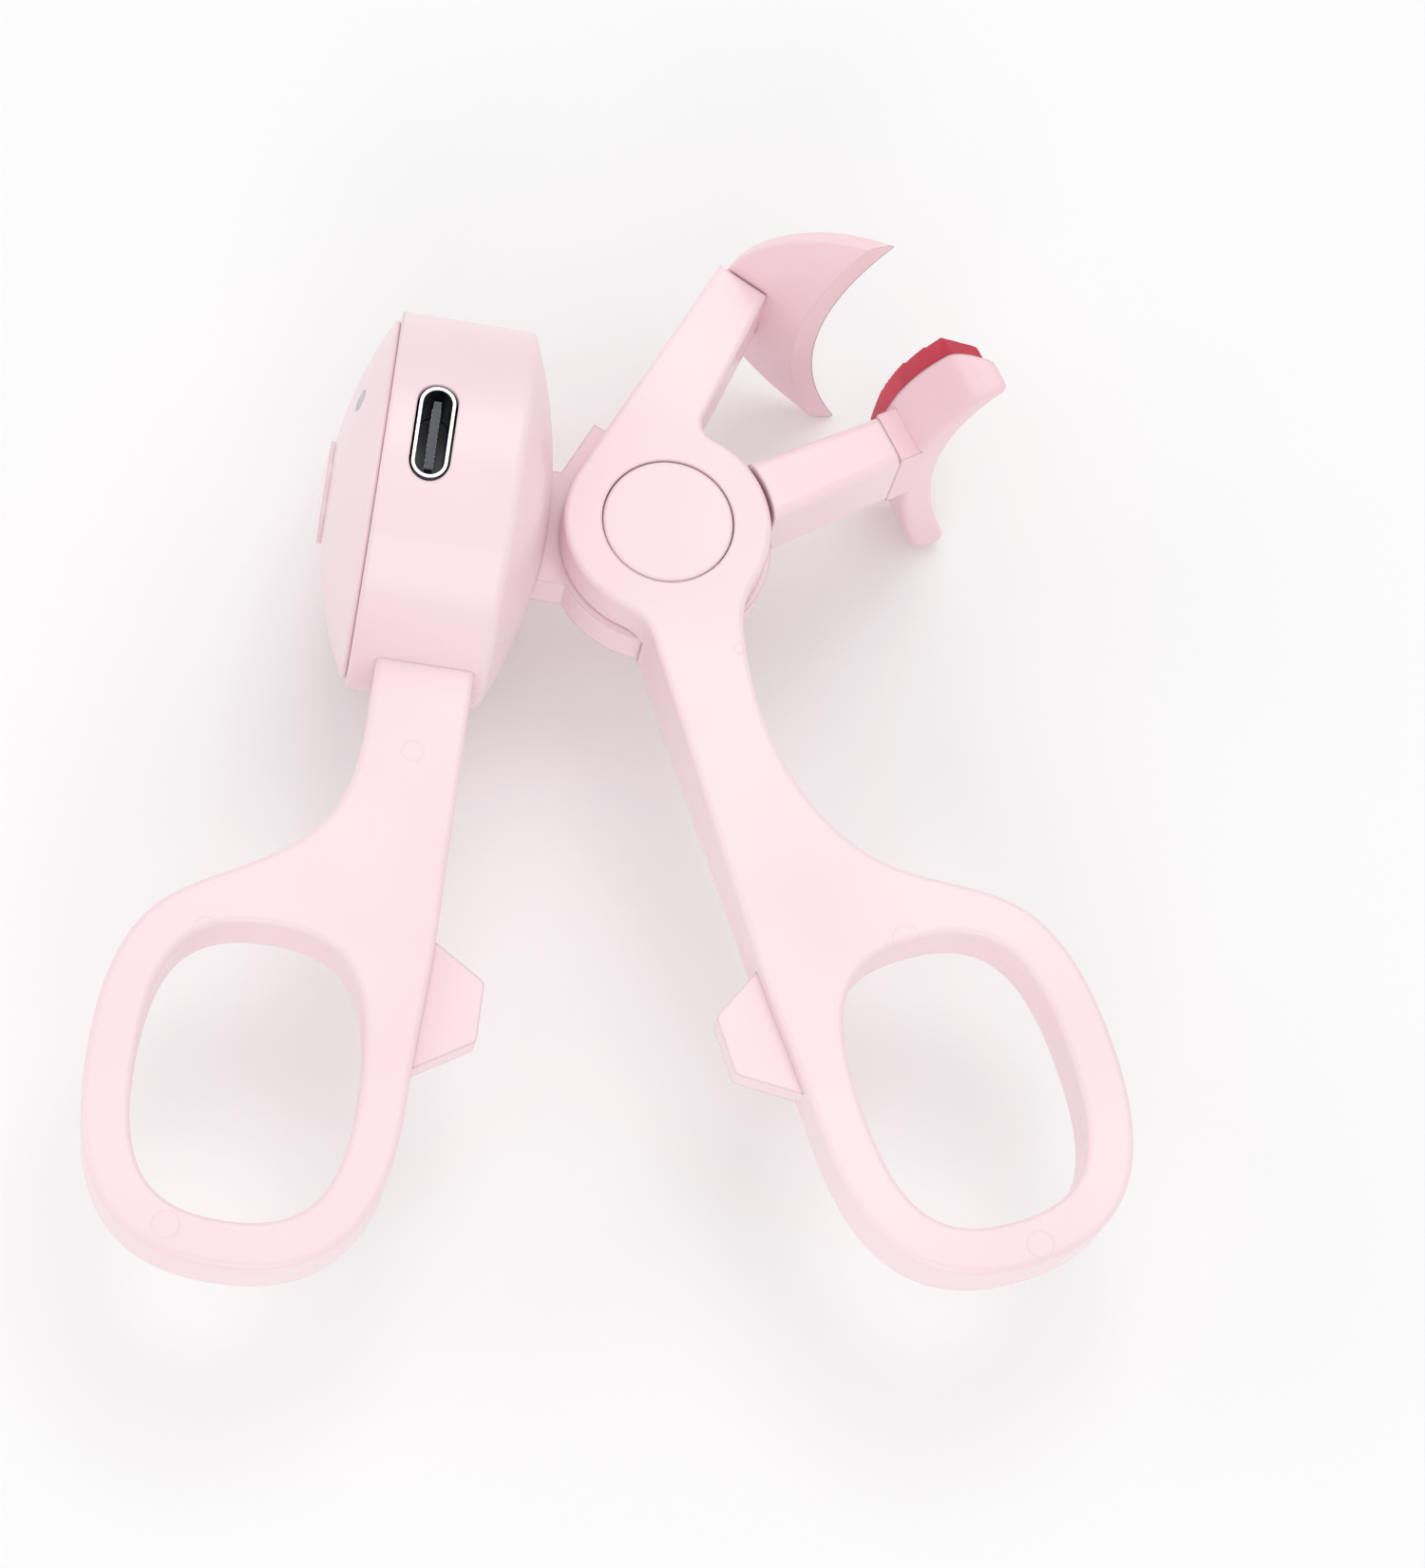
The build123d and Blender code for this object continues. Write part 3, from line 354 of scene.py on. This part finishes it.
def red_silicone():
    """Satin red silicone rubber with lint."""
    finish, tree, surface = new_finish("red_silicone")
    skin = place_group(tree, moulded_grain, Cloud_Scale=220.0, Grain_Scale=3200.0)
    specks = place_group(tree, lint, Scale=760.0, Size=0.11)
    base = two_tones(tree, skin.outputs["Cloud"], tone(186, 38, 62), tone(212, 62, 82), 0.3, 0.7)
    dusty = tree.nodes.new("ShaderNodeMix")
    dusty.data_type = "RGBA"
    tree.links.new(specks.outputs["Speck"], dusty.inputs["Factor"])
    tree.links.new(base, dusty.inputs[6])
    dusty.inputs[7].default_value = tone(238, 170, 182)
    tree.links.new(dusty.outputs[2], surface["Base Color"])
    tree.links.new(span(tree, skin.outputs["Cloud"], 0.42, 0.55), surface["Roughness"])
    emboss(tree, [skin.outputs["Grain"]], 0.01 * MM, surface)
    surface["Sheen Weight"].default_value = 0.15
    surface["Sheen Roughness"].default_value = 0.4
    return finish


lash_pad = soft_copy("lash_pad", "silicone_pad", 0.14 * MM, 24)
lash_pad.data.materials.append(red_silicone())
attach(lash_pad, "rear")
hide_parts("silicone_pad")

# Charging port: a deep-drawn steel shell, nickel plated, round a black moulded tongue with its row
# of gold contacts on each side.


def bright_metal(name, pale, deep, roughness, streak=1400.0):
    """Plated or turned metal with fine streaks."""
    finish, tree, surface = new_finish(name)
    skin = place_group(tree, moulded_grain, Cloud_Scale=300.0, Grain_Scale=streak)
    tree.links.new(two_tones(tree, skin.outputs["Cloud"], deep, pale, 0.3, 0.7), surface["Base Color"])
    tree.links.new(span(tree, skin.outputs["Grain"], roughness * 0.8, roughness * 1.25), surface["Roughness"])
    emboss(tree, [skin.outputs["Grain"]], 0.002 * MM, surface, 0.08 * MM)
    surface["Metallic"].default_value = 1.0
    return finish


def dark_plastic(name, pale, deep, roughness=0.45):
    """Moulded black or dark plastic."""
    finish, tree, surface = new_finish(name)
    skin = place_group(tree, moulded_grain, Cloud_Scale=260.0, Grain_Scale=5200.0)
    tree.links.new(two_tones(tree, skin.outputs["Cloud"], deep, pale, 0.3, 0.7), surface["Base Color"])
    tree.links.new(span(tree, skin.outputs["Grain"], roughness * 0.8, roughness * 1.2), surface["Roughness"])
    emboss(tree, [skin.outputs["Grain"]], 0.006 * MM, surface)
    return finish


wears(bright_metal("plated_shell", tone(236, 236, 238), tone(214, 215, 219), 0.16), "usb_c_shell")
wears(dark_plastic("tongue_grey", tone(70, 72, 80), tone(44, 45, 52), 0.3), "usb_c_tongue")


def make_contact_row():
    """Row of equal small blades along a line."""
    tree = bpy.data.node_groups.new("contact_row", "GeometryNodeTree")
    ports = {}
    for label, kind in (
        ("Count", "NodeSocketInt"),
        ("Start", "NodeSocketVector"),
        ("Step", "NodeSocketVector"),
        ("Blade", "NodeSocketVector"),
        ("Metal", "NodeSocketMaterial"),
    ):
        ports[label] = tree.interface.new_socket(label, in_out="INPUT", socket_type=kind).identifier
    tree.interface.new_socket("Geometry", in_out="OUTPUT", socket_type="NodeSocketGeometry")
    given = tree.nodes.new("NodeGroupInput")
    result = tree.nodes.new("NodeGroupOutput")
    line = tree.nodes.new("GeometryNodeMeshLine")
    blade = tree.nodes.new("GeometryNodeMeshCube")
    copies = tree.nodes.new("GeometryNodeInstanceOnPoints")
    real = tree.nodes.new("GeometryNodeRealizeInstances")
    plated = tree.nodes.new("GeometryNodeSetMaterial")
    links = tree.links
    links.new(given.outputs["Count"], line.inputs["Count"])
    links.new(given.outputs["Start"], line.inputs["Start Location"])
    links.new(given.outputs["Step"], line.inputs["Offset"])
    links.new(given.outputs["Blade"], blade.inputs["Size"])
    links.new(line.outputs["Mesh"], copies.inputs["Points"])
    links.new(blade.outputs["Mesh"], copies.inputs["Instance"])
    links.new(copies.outputs["Instances"], real.inputs["Geometry"])
    links.new(real.outputs["Geometry"], plated.inputs["Geometry"])
    links.new(given.outputs["Metal"], plated.inputs["Material"])
    links.new(plated.outputs["Geometry"], result.inputs["Geometry"])
    return tree, ports


contact_row, row_ports = make_contact_row()


def row_mesh(count, start, step, blade, metal):
    """Plain mesh of one row of blades; sizes in millimetres."""
    mould = bpy.data.objects.new("row", bpy.data.meshes.new("row"))
    scene.collection.objects.link(mould)
    maker = mould.modifiers.new("row", "NODES")
    maker.node_group = contact_row
    maker[row_ports["Count"]] = count
    for label, value in (("Start", start), ("Step", step), ("Blade", blade)):
        maker[row_ports[label]] = [v * MM for v in value]
    maker[row_ports["Metal"]] = metal
    bpy.context.view_layer.update()
    mesh = bpy.data.meshes.new_from_object(mould.evaluated_get(bpy.context.evaluated_depsgraph_get()))
    bpy.data.objects.remove(mould)
    return mesh


def joined(name, meshes, body):
    """One piece from several meshes, riding on a body."""
    whole = bmesh.new()
    for mesh in meshes:
        whole.from_mesh(mesh)
    bmesh.ops.recalc_face_normals(whole, faces=whole.faces)
    result = bpy.data.meshes.new(name)
    whole.to_mesh(result)
    whole.free()
    result.materials.append(meshes[0].materials[0])
    piece = bpy.data.objects.new(name, result)
    scene.collection.objects.link(piece)
    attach(piece, body)


gold = bright_metal("contact_gold", tone(214, 176, 96), tone(186, 146, 70), 0.25)
tongue_low, tongue_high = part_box("usb_c_tongue")
tongue_x = (tongue_low[0] + tongue_high[0]) / 2 / MM
tongue_y = (tongue_low[1] + tongue_high[1]) / 2 / MM
tongue_top = tongue_high[2] / MM
pin_count = 12
pin_pitch = 0.5
pin_size = (0.06, 0.25, 3.6)
pin_rows = []
for side in (-1, 1):
    start = (tongue_x + side * 0.36, tongue_y - (pin_count - 1) / 2 * pin_pitch, tongue_top - 2.4)
    pin_rows.append(row_mesh(pin_count, start, (0, pin_pitch, 0), pin_size, gold))
joined("port_contacts", pin_rows, "rear")

# Board: green solder mask on glass cloth, held by two screws. It carries the switch under the button,
# the light, the port and the small parts, whose gull-wing legs are soldered to tinned pads.


def solder_mask():
    """Green lacquer over copper tracks."""
    finish, tree, surface = new_finish("solder_mask")
    place = tree.nodes.new("ShaderNodeTexCoord")
    tracks = tree.nodes.new("ShaderNodeTexBrick")
    tracks.inputs["Scale"].default_value = 420.0
    tracks.inputs["Mortar Size"].default_value = 0.03
    tree.links.new(place.outputs["Object"], tracks.inputs["Vector"])
    lacquer = two_tones(tree, tracks.outputs["Fac"], tone(22, 84, 52), tone(34, 118, 74))
    tree.links.new(lacquer, surface["Base Color"])
    skin = place_group(tree, moulded_grain, Cloud_Scale=200.0)
    tree.links.new(span(tree, skin.outputs["Cloud"], 0.3, 0.4), surface["Roughness"])
    emboss(tree, [tracks.outputs["Fac"]], 0.03 * MM, surface)
    return finish


wears(solder_mask(), "circuit_board")
wears(dark_plastic("chip_black", tone(40, 40, 44), tone(24, 24, 27), 0.5), "board_chips", "tact_switch")
wears(dark_plastic("sensor_black", tone(58, 44, 38), tone(34, 26, 22), 0.4), "temperature_sensor")
wears(dark_plastic("ivory_plunger", tone(232, 226, 210), tone(218, 210, 192), 0.45), "switch_plunger")
tin = bright_metal("solder_tin", tone(206, 207, 210), tone(178, 180, 184), 0.3)
board_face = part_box("circuit_board")[0][0] / MM
leg_rows = []
chip_sides = (
    (8.55, -2.4, 4, 1.27),
    (3.65, -2.4, 4, 1.27),
    (-5.7, -1.5, 6, 0.6),
    (-10.5, -1.5, 6, 0.6),
)
leg_height = 0.4
leg_reach = 0.9
for y, z, count, pitch in chip_sides:
    start = (board_face - leg_height / 2, y, z)
    leg = (leg_height, leg_reach, 0.35 * pitch)
    leg_rows.append(row_mesh(count, start, (0, 0, pitch), leg, tin))
joined("chip_legs", leg_rows, "rear")


def clear_plastic(name, colour, rough):
    """Cloudy clear plastic of the light pipe and the lamp."""
    finish, tree, surface = new_finish(name)
    skin = place_group(tree, moulded_grain, Cloud_Scale=400.0)
    tint = two_tones(tree, skin.outputs["Cloud"], colour, tone(250, 240, 240), 0.3, 0.9)
    tree.links.new(tint, surface["Base Color"])
    tree.links.new(span(tree, skin.outputs["Cloud"], rough * 0.8, rough * 1.2), surface["Roughness"])
    emboss(tree, [skin.outputs["Grain"]], 0.004 * MM, surface)
    surface["Transmission Weight"].default_value = 0.25
    return finish


wears(clear_plastic("light_pipe", tone(196, 186, 196), 0.35), "indicator_lens")
wears(clear_plastic("lamp_resin", tone(240, 226, 150), 0.3), "indicator_led")

# Battery: a lithium pouch in embossed aluminium laminate, on a strip of black foam, with two
# insulated leads. Two thinner leads run round the hub and through the lower arm to the heater.


def pouch_foil():
    """Aluminium laminate with a fine embossed grid."""
    finish, tree, surface = new_finish("pouch_foil")
    skin = place_group(tree, moulded_grain, Cloud_Scale=150.0, Grain_Scale=1500.0)
    tree.links.new(
        two_tones(tree, skin.outputs["Cloud"], tone(176, 178, 184), tone(206, 208, 212), 0.3, 0.7),
        surface["Base Color"],
    )
    tree.links.new(span(tree, skin.outputs["Cloud"], 0.3, 0.45), surface["Roughness"])
    emboss(tree, [skin.outputs["Grain"]], 0.03 * MM, surface, 0.2 * MM)
    surface["Metallic"].default_value = 0.9
    return finish


def wire_sleeve(name, pale, deep):
    """Thin silicone sleeve of a lead."""
    finish, tree, surface = new_finish(name)
    skin = place_group(tree, moulded_grain, Cloud_Scale=500.0, Grain_Scale=4000.0)
    tree.links.new(two_tones(tree, skin.outputs["Cloud"], deep, pale, 0.3, 0.7), surface["Base Color"])
    tree.links.new(span(tree, skin.outputs["Cloud"], 0.4, 0.55), surface["Roughness"])
    emboss(tree, [skin.outputs["Grain"]], 0.006 * MM, surface)
    return finish


wears(pouch_foil(), "battery_cell")
wears(wire_sleeve("battery_lead_red", tone(196, 44, 40), tone(160, 30, 30)), "battery_leads")
wears(wire_sleeve("heater_lead_white", tone(232, 228, 222), tone(212, 206, 198)), "heater_leads")
foam_strip = soft_copy("foam_strip", "battery_pad", 0.12 * MM, 2)
foam_strip.data.materials.append(dark_plastic("foam_black", tone(52, 52, 56), tone(26, 26, 28), 0.9))
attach(foam_strip, "rear")
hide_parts("battery_pad")

# Pivot and heater metal: a zinc-plated screw in a brass insert, a turned sleeve and washer that the
# front lever runs on, the spring that opens the handles, and the etched foil heater under the pad.
zinc = bright_metal("zinc_plate", tone(208, 210, 214), tone(176, 179, 186), 0.28)
wears(zinc, "board_screws", "pivot_screw")
turned = bright_metal("turned_steel", tone(198, 199, 202), tone(164, 166, 170), 0.32, 3000.0)
wears(turned, "pivot_sleeve", "pivot_washer")
wears(bright_metal("spring_steel", tone(150, 151, 156), tone(112, 113, 118), 0.35), "torsion_spring")
wears(bright_metal("insert_brass", tone(214, 176, 104), tone(176, 138, 72), 0.3), "threaded_insert")
wears(bright_metal("heater_foil", tone(204, 140, 92), tone(168, 106, 64), 0.35), "heating_strip")
